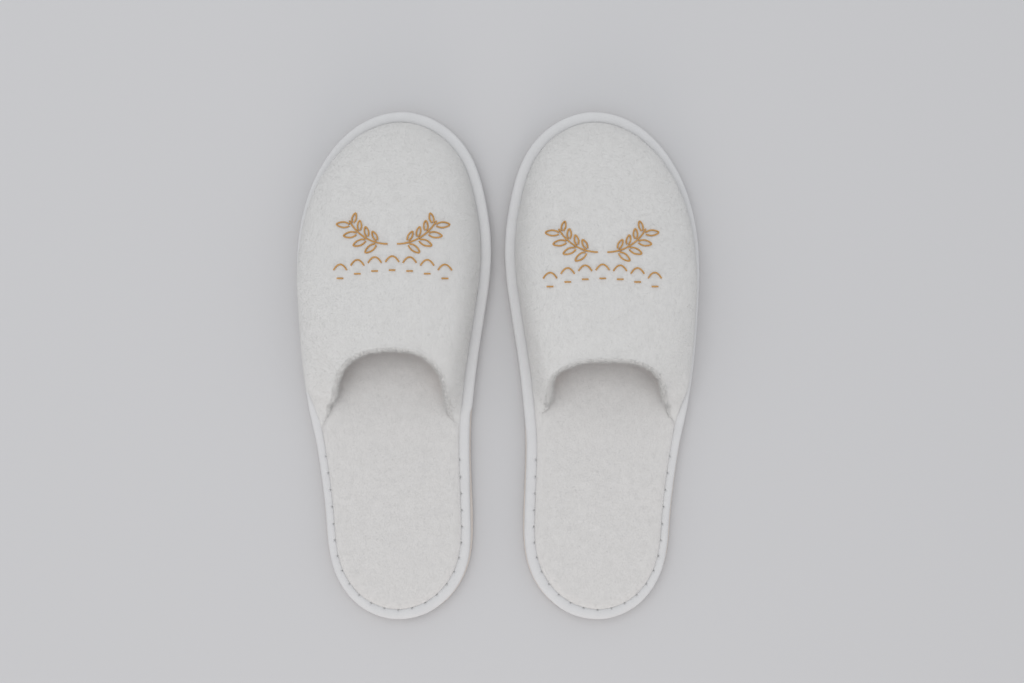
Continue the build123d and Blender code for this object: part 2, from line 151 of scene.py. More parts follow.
# ------------------------------------------------------------------ relief and pile
# relief layers: height and feature size in millimetres, seed, octaves
COVER_RELIEF = ((0.30, 22.0, 1, 2), (0.04, 4.0, 2, 1), (0.03, 1.6, 3, 1))
CORE_RELIEF = ((0.04, 3.0, 5, 1),)
BINDING_RELIEF = ((0.09, 12.0, 7, 2),)
PADDED_RELIEF = ((0.50, 34.0, 11, 2),)
GATHER_RELIEF = ((0.40, 7.0, 12, 1),)
VELOUR_RELIEF = ((0.03, 1.5, 13, 2), (0.07, 6.0, 14, 1))
HEM_WAVE = ((0.08, 5.0, 15, 2),)
INSIDE_RELIEF = ((0.12, 3.0, 16, 1),)
TUFT_RELIEF = ((0.55, 1.7, 17, 1), (0.35, 0.8, 23, 1))
LINING_RELIEF = ((0.25, 9.0, 18, 2), (0.05, 1.8, 19, 1))
PADDING_RELIEF = ((0.15, 8.0, 21, 2),)
SEED_STEP = 17.3

FIBRES_PER_PATCH = 47000  # keeps each patch of pile under 200,000 triangles
FRINGE_FIBRES = 9000
FOOTBED_PILE = {"patches": 2, "seed": 31, "length": 0.60, "radius": 0.085, "lean": 0.6}
UPPER_PILE = {"patches": 3, "seed": 61, "length": 0.55, "radius": 0.085, "lean": 0.55}
FRINGE_PILE = {"seed": 92, "length": 1.5, "radius": 0.06, "lean": 0.45}
FRINGE_SEED = 91  # for its places
FIBRE_SEEDS = 10  # a patch's fibres are drawn from this many seeds past its places
FIBRE_LENGTHS, FIBRE_WIDTHS = (0.55, 1.25), (0.7, 1.3)  # shares of the length and the radius
FIBRE_ROOT = 0.25  # millimetres under the cloth
MOTIF_STEP = 60  # one of this many of the embroidery's points is enough to keep the pile off it
MOTIF_CLEAR, MOTIF_FADE = 0.4, 0.9

# ------------------------------------------------------------------ steps
CHUNK = 4000  # points handled at a time, to save memory
SPLINE_STEPS, SHARE_STEPS = 4001, 4000
RIM_POINTS = 1440
RIM_STEP, RIB_STEP = 1e-4, 0.002  # shares over which directions are measured
PLAN_RIM_POINTS, PLAN_ROWS, PLAN_COLS, CORE_COLS, OUTSOLE_ROWS = 2000, 260, 120, 40, 200
PLAN_CROWDING = 0.55  # how much closer together a plan's columns stand near its edges
WELD, DEGENERATE = 2e-6, 1e-7  # metres
WAVE_SCALE = 314  # a wave texture of this scale repeats every millimetre


# ------------------------------------------------------------------ curves
def spline(points, closed=False, ends=None):
    """A function of a share 0..1 of the length of a cubic spline through the points, and that length."""
    p = np.array(points, float)
    if closed:
        p = np.vstack([p, p[:1]])
    t = np.concatenate([[0], np.cumsum(np.linalg.norm(np.diff(p, axis=0), axis=1))])
    n = len(p) - 1
    h = np.diff(t)
    a = np.zeros((n + 1, n + 1))
    b = np.zeros((n + 1, p.shape[1]))
    for i in range(1, n):
        a[i, i - 1], a[i, i], a[i, i + 1] = h[i], 2 * (h[i - 1] + h[i]), h[i - 1]
        b[i] = 3 * (h[i] * (p[i] - p[i - 1]) / h[i - 1] + h[i - 1] * (p[i + 1] - p[i]) / h[i])
    if closed:
        a[0, 0], a[0, n] = 1, -1
        a[n, n - 1], a[n, 0], a[n, 1] = h[0], 2 * (h[-1] + h[0]), h[-1]
        b[n] = 3 * (h[0] * (p[n] - p[n - 1]) / h[-1] + h[-1] * (p[1] - p[0]) / h[0])
    else:
        a[0, 0] = a[n, n] = 1
        b[0], b[n] = [np.array(e) / np.linalg.norm(e) for e in ends]
    m = np.linalg.solve(a, b)

    def raw(share):
        x = np.clip(share, 0, 1) * t[-1]
        k = np.clip(np.searchsorted(t, x, side="right") - 1, 0, n - 1)
        u = ((x - t[k]) / h[k])[..., None]
        hk = h[k][..., None]
        return ((1 + 2 * u) * (1 - u) ** 2 * p[k] + u * (1 - u) ** 2 * hk * m[k]
                + u * u * (3 - 2 * u) * p[k + 1] + u * u * (u - 1) * hk * m[k + 1])

    fine = np.linspace(0, 1, SPLINE_STEPS)
    q = raw(fine)
    arc = np.concatenate([[0], np.cumsum(np.linalg.norm(np.diff(q, axis=0), axis=1))])

    def at(share):
        share = np.asarray(share, float)
        share = share % 1.0 if closed else np.clip(share, 0, 1)
        return raw(np.interp(share * arc[-1], arc, fine))

    return at, arc[-1]


def outline():
    """The sole's outline, from the heel's tip along the outer side to the toe's tip and back."""
    lateral = [(-a, y) for y, a, _ in BREADTHS]
    medial = [(b, y) for y, _, b in reversed(BREADTHS)]
    heel, toe = (HEEL_TIP_X, -SOLE_LENGTH / 2), (TOE_TIP_X, SOLE_LENGTH / 2)
    return spline([heel] + lateral + [toe] + medial, closed=True)


RIM, RIM_LENGTH = outline()
RIM_FINE = RIM(np.arange(RIM_POINTS) / RIM_POINTS)


def rim(u, inset=0.0):
    """Points of the outline drawn in by inset, and the outward normals, for shares u of its length."""
    u = np.asarray(u, float)
    along = RIM(u + RIM_STEP) - RIM(u - RIM_STEP)
    along /= np.linalg.norm(along, axis=-1, keepdims=True)
    out = np.stack([-along[..., 1], along[..., 0]], -1)
    return RIM(u) - out * np.asarray(inset)[..., None], out


def rim_share(y, low, high):
    """The share of the outline's length, between low and high, where it passes y."""
    u = np.linspace(low, high, SHARE_STEPS)
    return float(u[np.argmin(np.abs(RIM(u)[:, 1] - y))])


def rim_distance(x, y):
    """Distances of points in plan from the sole's outline, and the shares of its length nearest to them."""
    p = np.stack([np.ravel(x), np.ravel(y)], -1)
    d = np.empty(len(p))
    u = np.empty(len(p))
    for i in range(0, len(p), CHUNK):
        square = ((p[i:i + CHUNK, None] - RIM_FINE[None]) ** 2).sum(-1)
        d[i:i + CHUNK] = np.sqrt(square.min(1))
        u[i:i + CHUNK] = square.argmin(1) / len(RIM_FINE)
    return d.reshape(np.shape(x)), u.reshape(np.shape(x))


def ease(x):
    """From 0 to 1 as x goes from 0 to 1, level at both ends."""
    x = np.clip(x, 0, 1)
    return x * x * (3 - 2 * x)


def bell(x):
    return np.exp(-x * x)


def round_over(distance, radius):
    """From 0 at an edge to 1 at the radius and beyond, as a quarter circle."""
    return np.sqrt(np.clip(1 - (1 - np.minimum(1, distance / radius)) ** 2, 0, 1))


def rough(p, size, seed, octaves):
    """Gradient noise at points p, whose features are about size across."""
    flat = p.reshape(-1, 3) / size + seed * SEED_STEP
    total = np.zeros(len(flat))
    for k in 2.0 ** np.arange(octaves):
        total += np.array([noise.noise(v * k) for v in map(Vector, flat)]) / k
    return total.reshape(p.shape[:-1])


def relief(p, layers):
    """The height at points p of relief layers, which are listed as height, feature size, seed and octaves."""
    return sum(height * rough(p, size, seed, octaves) for height, size, seed, octaves in layers)


# ------------------------------------------------------------------ the upper's surface
class Upper:
    """The upper's outer surface. Ribs s run from the outer to the inner wing, and t from foot to throat."""

    def __init__(self, side):
        outer_y, inner_y = WING_TIP_Y[side]
        self.side = side
        self.first = rim_share(outer_y, *OUTER_SPAN)
        self.last = rim_share(inner_y, *INNER_SPAN)
        self.throat, _ = spline(THROATS[side], ends=THROAT_ENDS)

    def foot_share(self, s):
        spaced = s - FOOT_CROWDING * np.sin(2 * np.pi * s) / (2 * np.pi)
        return self.first + spaced * (self.last - self.first)

    def controls(self, s):
        """The four Bezier points of ribs s."""
        foot, out = rim(self.foot_share(s), UPPER_INSET)
        base = np.concatenate([foot, np.full(foot.shape[:-1] + (1,), UPPER_FOOT)], -1)
        out = np.concatenate([out, np.zeros(out.shape[:-1] + (1,))], -1)
        edge = self.throat(s)
        rise = edge[..., 2] - base[..., 2]
        inward = (edge - base) * [1, 1, 0]
        reach = np.linalg.norm(inward, axis=-1)
        lateral, medial, ahead = [np.maximum(0, a) for a in (-out[..., 0], out[..., 0], out[..., 1])]
        swell = lateral * LATERAL_BULGE[self.side] + medial * MEDIAL_BULGE
        swell = swell * np.minimum(1, rise / FULL_BULGE_RISE) - ahead ** 2 * TOE_LEAN
        up = np.array([0, 0, 1.0])
        first = base + out * swell[..., None] + up * (WALL_SHARE * rise)[..., None]
        crown = ease((rise - CROWN_FROM) / CROWN_OVER)[..., None]
        level = edge - inward * CROWN_REACH + up * (CROWN_RISE * rise - CROWN_DROP * reach)[..., None]
        upright = edge - up * (UPRIGHT_SHARE * rise)[..., None]
        return base, first, level * crown + upright * (1 - crown), edge

    def point(self, s, t):
        b, f, g, e = self.controls(s)
        t = np.asarray(t)[..., None]
        k = 1 - t
        return b * k ** 3 + 3 * f * k * k * t + 3 * g * k * t * t + e * t ** 3

    def normal(self, s, t):
        d = RIB_STEP
        along = self.point(np.minimum(1, s + d), t) - self.point(np.maximum(0, s - d), t)
        across = self.point(s, np.minimum(1, t + d)) - self.point(s, np.maximum(0, t - d))
        n = np.cross(across, along)
        n /= np.linalg.norm(n, axis=-1, keepdims=True)
        n[..., 2] *= np.minimum(1, t / LEVEL_SPAN)
        return n / np.linalg.norm(n, axis=-1, keepdims=True)

    def lengths(self, s, t):
        """Straight distances on ribs s from shares t to the throat edge."""
        return np.linalg.norm(self.point(s, np.ones(len(s))) - self.point(s, t), axis=1)


# ------------------------------------------------------------------ making Blender objects
def swap_frame(p, side, to_world):
    """Between a slipper's own frame in millimetres and the row frame in metres. The right one is mirrored."""
    q = np.array(p, float) * (1 if to_world else 1 / MM)
    if side == "right":
        q[..., 0] = AXIS_FROM_MIDDLE - q[..., 0]
    else:
        q[..., 0] += -AXIS_FROM_MIDDLE if to_world else AXIS_FROM_MIDDLE
    return q * (MM if to_world else 1)


def mesh_object(name, points, faces, side, material, smooth=True):
    """An object from points in a slipper's own frame, in millimetres, and an array of quads or triangles."""
    co = swap_frame(points, side, to_world=True)
    faces = np.asarray(faces, np.int32)
    if side == "right":
        faces = faces[:, ::-1]
    mesh = bpy.data.meshes.new(name)
    mesh.vertices.add(len(co))
    mesh.vertices.foreach_set("co", co.astype(np.float32).ravel())
    per = faces.shape[1]
    mesh.loops.add(faces.size)
    mesh.loops.foreach_set("vertex_index", faces.ravel())
    mesh.polygons.add(len(faces))
    mesh.polygons.foreach_set("loop_start", np.arange(0, faces.size, per, dtype=np.int32))
    mesh.update(calc_edges=True)
    mesh.validate()
    mesh.polygons.foreach_set("use_smooth", np.full(len(mesh.polygons), smooth))
    obj = bpy.data.objects.new(name, mesh)
    bpy.context.collection.objects.link(obj)
    obj.data.materials.append(material)
    return obj


def grid_faces(rows, cols, wrap_rows=False, wrap_cols=False, first=0):
    """Quads of a grid of points stored row by row."""
    i = np.arange(rows if wrap_rows else rows - 1)
    j = np.arange(cols if wrap_cols else cols - 1)
    i, j = [a.ravel() for a in np.meshgrid(i, j, indexing="ij")]
    i2, j2 = (i + 1) % rows, (j + 1) % cols
    return np.stack([i * cols + j, i * cols + j2, i2 * cols + j2, i2 * cols + j], 1) + first


def close_and_weld(obj, add_faces=None):
    """Adds a mesh's missing faces, welds the points that coincide and turns the faces outward."""
    bm = bmesh.new()
    bm.from_mesh(obj.data)
    bm.verts.ensure_lookup_table()
    if add_faces:
        add_faces(bm)
    bmesh.ops.remove_doubles(bm, verts=bm.verts, dist=WELD)
    bmesh.ops.dissolve_degenerate(bm, edges=bm.edges, dist=DEGENERATE)
    bmesh.ops.recalc_face_normals(bm, faces=bm.faces)
    bm.to_mesh(obj.data)
    bm.free()
    obj.data.polygons.foreach_set("use_smooth", np.full(len(obj.data.polygons), True))
    obj.data.update()


def fan_ends(rows, cols):
    """Closes a tube's first and last ring with fans of triangles to the rings' middles."""
    def add_faces(bm):
        rings = [[bm.verts[row * cols + j] for j in range(cols)] for row in (0, rows - 1)]
        for ring in rings:
            middle = bm.verts.new(sum((v.co for v in ring), Vector()) / cols)
            for a, b in zip(ring, ring[1:] + ring[:1]):
                bm.faces.new((a, b, middle))
    return add_faces


def flat_ends(rows, cols):
    """Closes the first and last ring of a flattened tube, whose rings run out and back."""
    def add_faces(bm):
        for row in (0, rows - 1):
            for j in range(cols // 2 - 1):
                bm.faces.new([bm.verts[row * cols + k] for k in (j, j + 1, cols - 2 - j, cols - 1 - j)])
    return add_faces


def sheet(name, front, back, side, material):
    """A closed sheet between two grids of points."""
    ring = np.concatenate([front, back[:, ::-1]], 1)
    rows, cols = ring.shape[:2]
    faces = grid_faces(rows, cols, wrap_cols=True)
    obj = mesh_object(f"{side}_{name}", ring.reshape(-1, 3), faces, side, material)
    close_and_weld(obj, flat_ends(rows, cols))
    return obj


def closed_plate(name, x, y, top, bottom, side, material):
    """A closed mesh between two heights over the same places in plan, its points and its top's quads."""
    rows, cols = x.shape
    points = np.concatenate([np.stack([x, y, z], -1).reshape(-1, 3) for z in (top, bottom)])
    upper = grid_faces(rows, cols)
    lower = upper[:, ::-1] + rows * cols
    edges = []
    for col in (0, cols - 1):
        a = np.arange(rows - 1) * cols + col
        b = a + cols
        quad = np.stack([a, b, b + rows * cols, a + rows * cols], 1)
        edges.append(quad if col == 0 else quad[:, ::-1])
    obj = mesh_object(f"{side}_{name}", points, np.concatenate([upper, lower] + edges), side, material)
    close_and_weld(obj)
    return obj, points, upper


def bend(obj, side, slot, *replaced):
    """Hides the CAD nodes, front and heel, that a sole piece stands for, if any are given, and bakes its
    placement into its points. slot is not used.
    """
    if replaced:
        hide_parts(*[f"{side}_{name}_{end}" for name in replaced for end in ("front", "heel")])
    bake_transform(obj)


def carry(obj, side, slot, *replaced):
    """Hides the CAD node that an upper piece stands for, if one is given, and lets it ride on the slipper.
    slot is not used.
    """
    if replaced:
        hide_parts(*[f"{side}_{name}" for name in replaced])
    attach(obj, f"{side}_slipper")


def fibres(name, roots, normals, side, material, seed, length, radius, lean):
    """Short pile: one slender three-sided spike at each root."""
    rng = np.random.default_rng(seed)
    n = len(roots)
    way = normals + rng.normal(0, lean, (n, 3))
    way /= np.linalg.norm(way, axis=1, keepdims=True)
    size = length * rng.uniform(*FIBRE_LENGTHS, n)
    helper = np.cross(way, rng.normal(0, 1, (n, 3)))
    helper /= np.linalg.norm(helper, axis=1, keepdims=True)
    other = np.cross(way, helper)
    foot = roots - normals * FIBRE_ROOT
    wide = (radius * rng.uniform(*FIBRE_WIDTHS, n))[:, None]
    thirds = [k * 2 * math.pi / 3 for k in range(3)]
    corners = [foot + wide * (math.cos(a) * helper + math.sin(a) * other) for a in thirds]
    tip = roots + way * size[:, None]
    points = np.stack(corners + [tip], 1).reshape(-1, 3)
    k = np.arange(n, dtype=np.int32)[:, None] * 4
    tris = np.concatenate([k + [0, 1, 3], k + [1, 2, 3], k + [2, 0, 3], k + [2, 1, 0]])
    return mesh_object(name, points, tris, side, material, smooth=False)


def face_areas(points, faces):
    """Corners, areas and unit normals of quads."""
    corners = [points[faces[:, i]] for i in range(4)]
    a, b, c, d = corners
    n = np.cross(c - a, d - b)
    area = np.linalg.norm(n, axis=1) / 2
    return corners, area, n / np.maximum(1e-12, 2 * area[:, None])


def scatter(points, faces, count, seed, mask=1.0):
    """Random places on a mesh of quads, spread by area, and the normals there. mask thins them out."""
    rng = np.random.default_rng(seed)
    (a, b, c, d), area, unit = face_areas(points, faces)
    weight = area * mask
    pick = rng.choice(len(faces), count, p=weight / weight.sum())
    u, v = rng.random((2, count, 1))
    place = (a[pick] * (1 - u) + b[pick] * u) * (1 - v) + (d[pick] * (1 - u) + c[pick] * u) * v
    return place, unit[pick]


def pile(name, points, faces, side, material, patches, seed, mask=1.0, **shape):
    """Short pile spread evenly over a mesh of quads, as patches of equal area from heel to toe."""
    _, area, _ = face_areas(points, faces)
    weight = area * mask
    order = np.argsort(points[faces].mean(1)[:, 1])
    share = np.empty(len(order))
    share[order] = np.cumsum(weight[order]) / weight.sum()
    patch = np.minimum(patches - 1, (share * patches).astype(int))
    made = []
    for k in range(patches):
        place, normal = scatter(points, faces, FIBRES_PER_PATCH, seed + k, (patch == k) * mask)
        made.append(fibres(f"{side}_{name}_{k + 1}", place, normal, side=side, material=material,
                           seed=seed + FIBRE_SEEDS + k, **shape))
    return made


# ------------------------------------------------------------------ materials
def new_material(name):
    m = bpy.data.materials.new(name)
    m.use_nodes = True
    return m, m.node_tree.nodes, m.node_tree.links, m.node_tree.nodes["Principled BSDF"]


def new_node(nodes, kind, **settings):
    """A node with these inputs and properties. An underscore in an input's name stands for a space."""
    n = nodes.new(kind)
    for key, value in settings.items():
        socket = key.replace("_", " ")
        if socket in n.inputs:
            n.inputs[socket].default_value = value
        else:
            setattr(n, key, value)
    return n


def maths(nodes, links, operation, a, b):
    """The output of a node that works out a and b."""
    n = new_node(nodes, "ShaderNodeMath", operation=operation)
    links.new(a, n.inputs[0])
    links.new(b, n.inputs[1])
    return n.outputs[0]


def tint(nodes, links, shader, dark, light, factor):
    """Base colour between dark and light."""
    colour = new_node(nodes, "ShaderNodeMix", data_type="RGBA")
    colour.inputs["A"].default_value = (*dark, 1)
    colour.inputs["B"].default_value = (*light, 1)
    links.new(factor, colour.inputs["Factor"])
    links.new(colour.outputs["Result"], shader.inputs["Base Color"])


def emboss(nodes, links, shader, height, strength, distance):
    """Bump whose full height is distance millimetres."""
    bump = new_node(nodes, "ShaderNodeBump", Strength=strength, Distance=distance * MM)
    links.new(height, bump.inputs["Height"])
    links.new(bump.outputs["Normal"], shader.inputs["Normal"])


def set_inputs(shader, **values):
    """Sets a shader's inputs. An underscore in a name stands for a space."""
    for name, value in values.items():
        shader.inputs[name.replace("_", " ")].default_value = value


def cloth(name, dark, light, mottle, grain, bump, sheen, weave=0.0, roughness=0.95):
    """Mottled cloth with a fine grain, and a plain weave if weave is given. Its sizes are in millimetres."""
    m, nodes, links, shader = new_material(name)
    place = nodes.new("ShaderNodeTexCoord").outputs["Object"]
    broad = new_node(nodes, "ShaderNodeTexNoise", Scale=1000 / mottle, Detail=3.0, Roughness=0.6)
    small = new_node(nodes, "ShaderNodeTexNoise", Scale=1000 / grain, Detail=4.0, Roughness=0.7)
    for texture in (broad, small):
        links.new(place, texture.inputs["Vector"])
    spread = new_node(nodes, "ShaderNodeMapRange", From_Min=0.65, From_Max=1.35)
    both = maths(nodes, links, "ADD", broad.outputs["Fac"], small.outputs["Fac"])
    links.new(both, spread.inputs["Value"])
    tint(nodes, links, shader, dark, light, spread.outputs["Result"])
    height = small.outputs["Fac"]
    if weave:
        yarns = []
        for direction in ("X", "Y"):
            yarn = new_node(nodes, "ShaderNodeTexWave", wave_type="BANDS", bands_direction=direction,
                            Scale=WAVE_SCALE / weave, Distortion=0.6, Detail=1.0, Detail_Scale=2.0)
            links.new(place, yarn.inputs["Vector"])
            yarns.append(yarn.outputs["Fac"])
        height = maths(nodes, links, "ADD", maths(nodes, links, "MAXIMUM", *yarns), height)
    emboss(nodes, links, shader, height, strength=0.9, distance=bump)
    set_inputs(shader, Roughness=roughness, Specular_IOR_Level=0.15, Sheen_Weight=sheen, Sheen_Roughness=0.5)
    return m


def plain(name, colour):
    """An even cloth colour, for pile, whose detail is all in its mesh."""
    m, _, _, shader = new_material(name)
    set_inputs(shader, Base_Color=(*colour, 1), Roughness=0.9, Specular_IOR_Level=0.2, Sheen_Weight=0.3)
    return m


def foam_rubber(name, dark, light, pore, bump):
    """Closed-cell foam: fine pores in the bump and faint mottling. Pores and bump are in millimetres."""
    m, nodes, links, shader = new_material(name)
    place = nodes.new("ShaderNodeTexCoord").outputs["Object"]
    cells = new_node(nodes, "ShaderNodeTexVoronoi", Scale=1000 / pore, feature="F1")
    tone = new_node(nodes, "ShaderNodeTexNoise", Scale=60.0, Detail=4.0)
    for texture in (cells, tone):
        links.new(place, texture.inputs["Vector"])
    tint(nodes, links, shader, dark, light, tone.outputs["Fac"])
    emboss(nodes, links, shader, cells.outputs["Distance"], strength=0.6, distance=bump)
    set_inputs(shader, Roughness=0.62)
    return m


# cloths: dark and light colour, then mottle, grain and bump in millimetres, and sheen
VELOUR = cloth("velour", (0.605, 0.603, 0.597), (0.650, 0.648, 0.642), 6.0, 0.9, 0.15, 0.3)
TERRY = cloth("terry", (0.590, 0.584, 0.578), (0.640, 0.633, 0.627), 5.0, 1.1, 0.15, 0.3)
TAPE = cloth("binding_tape", (0.60, 0.603, 0.611), (0.635, 0.638, 0.646), 9.0, 0.7, 0.06, 0.15,
             weave=0.55, roughness=0.8)
# the lining's pinkish-beige colour is painted warm shade: it stands in for the warm tone of the shade inside
# the throat, and the real lining cloth is probably white
LINING_CLOTH_PAINTED_SHADE = cloth("lining_cloth", (0.755, 0.545, 0.46), (0.815, 0.605, 0.515), 7.0, 0.8, 0.2, 0.2,
                     weave=0.9)
VELOUR_PILE = plain("velour_pile", (0.645, 0.643, 0.637))
TERRY_PILE = plain("terry_pile", (0.640, 0.634, 0.628))
THREAD = cloth("white_thread", (0.70, 0.70, 0.70), (0.78, 0.78, 0.79), 2.0, 0.3, 0.05, 0.2, roughness=0.6)
GOLD = cloth("gold_thread", (0.44, 0.225, 0.065), (0.60, 0.345, 0.12), 3.0, 0.35, 0.12, 0.1,
             weave=0.45, roughness=0.42)
# foams: dark and light colour, then pore and bump in millimetres
OUTSOLE = foam_rubber("eva_outsole", (0.58, 0.53, 0.49), (0.66, 0.61, 0.57), 0.8, 0.12)
FOAM = foam_rubber("foam", (0.78, 0.76, 0.70), (0.86, 0.85, 0.80), 1.2, 0.5)
BOARD = foam_rubber("pressed_board", (0.42, 0.34, 0.24), (0.56, 0.47, 0.36), 2.0, 0.1)


# ------------------------------------------------------------------ sole pieces
def plan_slices(inset, rows=None, cols=PLAN_COLS):
    """A grid of places over the outline drawn in by inset, in rows from heel to toe, closer near its edges.
    inset is a number or a function of the share of the outline's length."""
    u = np.arange(PLAN_RIM_POINTS) / PLAN_RIM_POINTS
    q, _ = rim(u, inset(u) if callable(inset) else inset)
    q = np.roll(q, -int(np.argmin(q[:, 1])), axis=0)
    toe = int(np.argmax(q[:, 1]))
    left, right = q[:toe + 1], np.vstack([q[toe:], q[:1]])[::-1]
    low, high = left[0, 1], left[-1, 1]
    if rows is None:
        rows = (low + high) / 2 - (high - low) / 2 * np.cos(np.linspace(0, np.pi, PLAN_ROWS))
    else:
        rows = np.concatenate([[low], rows[(rows > low) & (rows < high)], [high]])
    xl, xr = [np.interp(rows, np.maximum.accumulate(e[:, 1]), e[:, 0]) for e in (left, right)]
    xl[0] = xr[0] = left[0, 0]
    xl[-1] = xr[-1] = left[-1, 0]
    w = np.linspace(0, 1, cols)
    w = (1 - PLAN_CROWDING) * w + PLAN_CROWDING * (1 - np.cos(np.pi * w)) / 2
    x = xl[:, None] * (1 - w) + xr[:, None] * w
    return x, np.repeat(rows[:, None], cols, 1)


def flat_points(x, y):
    return np.stack([x, y, np.zeros_like(x)], -1)


def binding_edges(side, u):
    """Insets of the binding's outer and inner edges. It stands out further ahead of the wing tips."""
    place, out = rim(u)
    y, medial = place[..., 1], out[..., 0]
    inner_side = medial > 0
    back = ease((BACK_FROM - y) / np.where(inner_side, BACK_OVER[side][1], BACK_OVER[side][0]))
    waist = bell((y - WAIST_Y) / WAIST_REACH) * np.where(inner_side, WAIST_DRAW[side][1], WAIST_DRAW[side][0])
    heel = np.maximum(0, -out[..., 1]) ** 2
    outer = BINDING_OUTER + back * (BACK_OUTER + waist)
    inner = (BINDING_INNER + BINDING_INNER_LEAN * medial
             + back * (BACK_INNER * np.maximum(0, medial) + BACK_HEEL * heel))
    return outer, inner


def cover_inset(side):
    """How far in the footbed's edge lies: under the binding's inner edge, and further in inside the upper."""
    narrows_from = max(WING_TIP_Y[side]) + COVER_NARROWS_FROM

    def inset(u):
        _, inner = binding_edges(side, u)
        ahead = ease((RIM(u)[..., 1] - narrows_from) / COVER_NARROWS_OVER)
        return inner - COVER_UNDER_BINDING + COVER_NARROWS * ahead

    return inset


def footbed(side):
    """The towelling cover with its pile: crowned, with its rounded edge under the binding."""
    inset = cover_inset(side)
    x, y = plan_slices(inset)
    d, u = rim_distance(x, y)
    d = np.maximum(0, d - inset(u))
    rise = COVER_RISE + COVER_CROWN * ease(d / COVER_CROWN_OVER) + relief(flat_points(x, y), COVER_RELIEF)
    top = COVER_EDGE + round_over(d, COVER_ROUND) * rise
    obj, points, faces = closed_plate("footbed", x, y, top, np.full_like(x, COVER_BOTTOM), side, TERRY)
    bend(obj, side, "terry_cover", "insole_cover")
    for patch in pile("footbed_pile", points, faces, side, TERRY_PILE, **FOOTBED_PILE):
        bend(patch, side, "terry_cover")


def core(side):
    """The board and the foam, which the other pieces hide."""
    def foam_inset(u):
        return cover_inset(side)(u) + FOAM_INSIDE_COVER

    for name, slot, inset, low, high, material in (
        ("insole_board", "pressed_board", BOARD_INSET, BOARD_BOTTOM, BOARD_TOP, BOARD),
        ("insole_foam", "foam", foam_inset, FOAM_BOTTOM, FOAM_TOP, FOAM),
    ):
        x, y = plan_slices(inset, cols=CORE_COLS)
        top = high + relief(flat_points(x, y), CORE_RELIEF)
        obj, _, _ = closed_plate(name, x, y, top, np.full_like(x, low), side, material)
        bend(obj, side, slot, name)


def outsole(side):
    """The foam outsole, with tread grooves across its underside."""
    bars = np.concatenate([np.arange(low, high + 1e-6, BAR_PITCH) for low, high in BAR_SPANS])
    rows = [-SOLE_LENGTH / 2 * np.cos(np.linspace(0, np.pi, OUTSOLE_ROWS))]
    rows += [bars + offset for offset in GROOVE_ROWS]
    x, y = plan_slices(0.0, np.unique(np.concatenate(rows)))
    d, _ = rim_distance(x, y)
    edge = round_over(d, OUTSOLE_ROUND)
    low, high = OUTSOLE_SIDE
    in_groove = (np.abs(y[..., None] - bars).min(-1) < GROOVE_HALF_WIDTH) & (d > GROOVE_FROM_EDGE)
    bottom = low - low * edge + GROOVE_DEPTH * in_groove
    obj, _, _ = closed_plate("outsole", x, y, high + (OUTSOLE_TOP - high) * edge, bottom, side, OUTSOLE)
    bend(obj, side, "eva_outsole", "outsole")


def stitch_shares():
    """Where the needle holes are, as shares of the outline's length."""
    count = round(RIM_LENGTH / STITCH_PITCH)
    return np.arange(count) / count


def binding(side):
    """The binding tape round the sole's edge, pulled in at the needle holes behind the upper."""
    u = np.arange(BINDING_RINGS) / BINDING_RINGS
    phi = np.arange(BINDING_SIDES) / BINDING_SIDES * 2 * np.pi
    across, high = [(np.sign(a) * np.abs(a) ** BINDING_POWER)[None] for a in (np.cos(phi), np.sin(phi))]
    outer, inner = [edge[:, None] for edge in binding_edges(side, u)]
    inset = (inner + outer) / 2 + (inner - outer) / 2 * across
    centre, out = rim(u)
    from_hole = np.abs((u[:, None] - stitch_shares()[None] + 0.5) % 1 - 0.5).min(1)[:, None] * RIM_LENGTH
    from_line = inset - (inner - HOLES_FROM_INNER)
    pull = HOLE_DEPTH * bell(from_hole / HOLE_LENGTH) * bell(from_line / HOLE_WIDTH)
    slack = SLACK * np.cos(2 * np.pi * (from_hole / STITCH_PITCH)) * bell(from_line / SLACK_WIDTH)
    shown = ease((HOLES_BEHIND - centre[:, 1]) / HOLES_OVER)[:, None] * (high > TOP_FROM)
    z = BINDING_MIDDLE + BINDING_HALF * high - shown * (pull + slack)
    p = np.concatenate([centre[:, None] - out[:, None] * inset[..., None], z[..., None]], -1)
    wobble = relief(p, BINDING_RELIEF)
    p[..., 2] += wobble * (high > 0)
    p[..., :2] += out[:, None] * wobble[..., None]
    faces = grid_faces(BINDING_RINGS, BINDING_SIDES, True, True)
    obj = mesh_object(f"{side}_binding", p.reshape(-1, 3), faces, side, TAPE)
    close_and_weld(obj)
    bend(obj, side, "binding_tape", "binding")


def tube(path, radius, sides):
    """Rings of points round a path."""
    d = np.gradient(path, axis=0)
    d /= np.linalg.norm(d, axis=1, keepdims=True)
    helper = np.cross(d, [0.0, 0.0, 1.0])
    helper /= np.linalg.norm(helper, axis=1, keepdims=True)
    other = np.cross(helper, d)
    a = np.arange(sides) / sides * 2 * np.pi
    ring = np.cos(a)[None, :, None] * helper[:, None] + np.sin(a)[None, :, None] * other[:, None]
    return path[:, None] + ring * radius[:, None, None]


